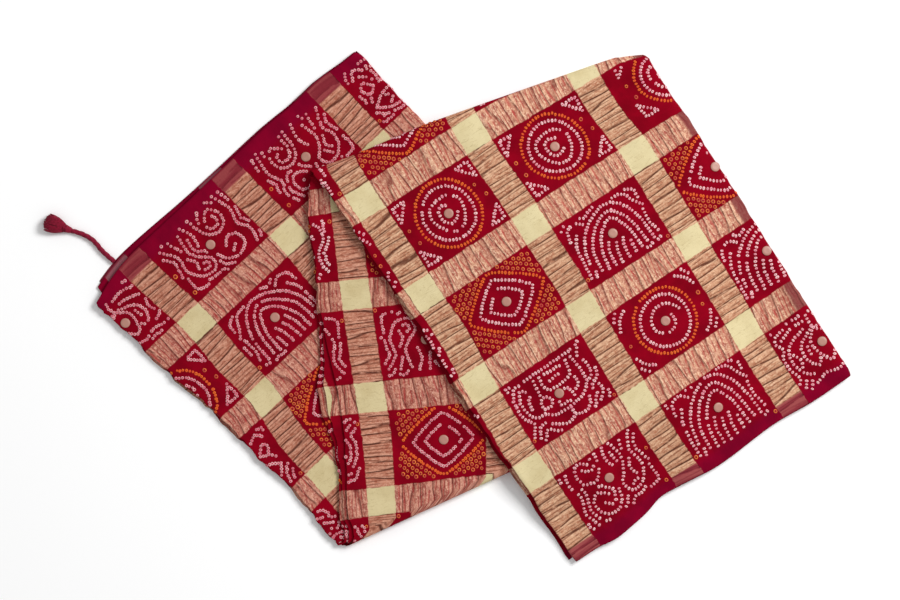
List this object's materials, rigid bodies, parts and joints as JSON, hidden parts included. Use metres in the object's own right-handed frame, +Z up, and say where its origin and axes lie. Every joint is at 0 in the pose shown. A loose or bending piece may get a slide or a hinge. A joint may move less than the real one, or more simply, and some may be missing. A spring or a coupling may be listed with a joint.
{
  "type": "folded bandhani cloth",
  "caption": "Crimson tie-dyed cloth with a woven gold check, folded lengthwise and laid back and forth in flat panels, with a corded tassel at its hem.",
  "frame": {"origin": "middle of the folded cloth's outline without its cord and tassel, on the surface that it rests on", "axes": "+Z up from the surface, +X along the longer side of the outline, +Y towards the fold at the far side"},
  "size_m": [0.7298, 0.4605, 0.02],
  "materials": {
    "bandhani_cloth": "crimson tie-dyed cotton silk with a woven gold-thread check, cream crossings and small resist-dyed rings",
    "tassel_yarn": "matt magenta-red twisted cotton yarn"
  },
  "bodies": {
    "root": {"cloth": "bandhani_cloth", "tassel_cord": "tassel_yarn", "tassel": "tassel_yarn"}
  },
  "joints": []
}
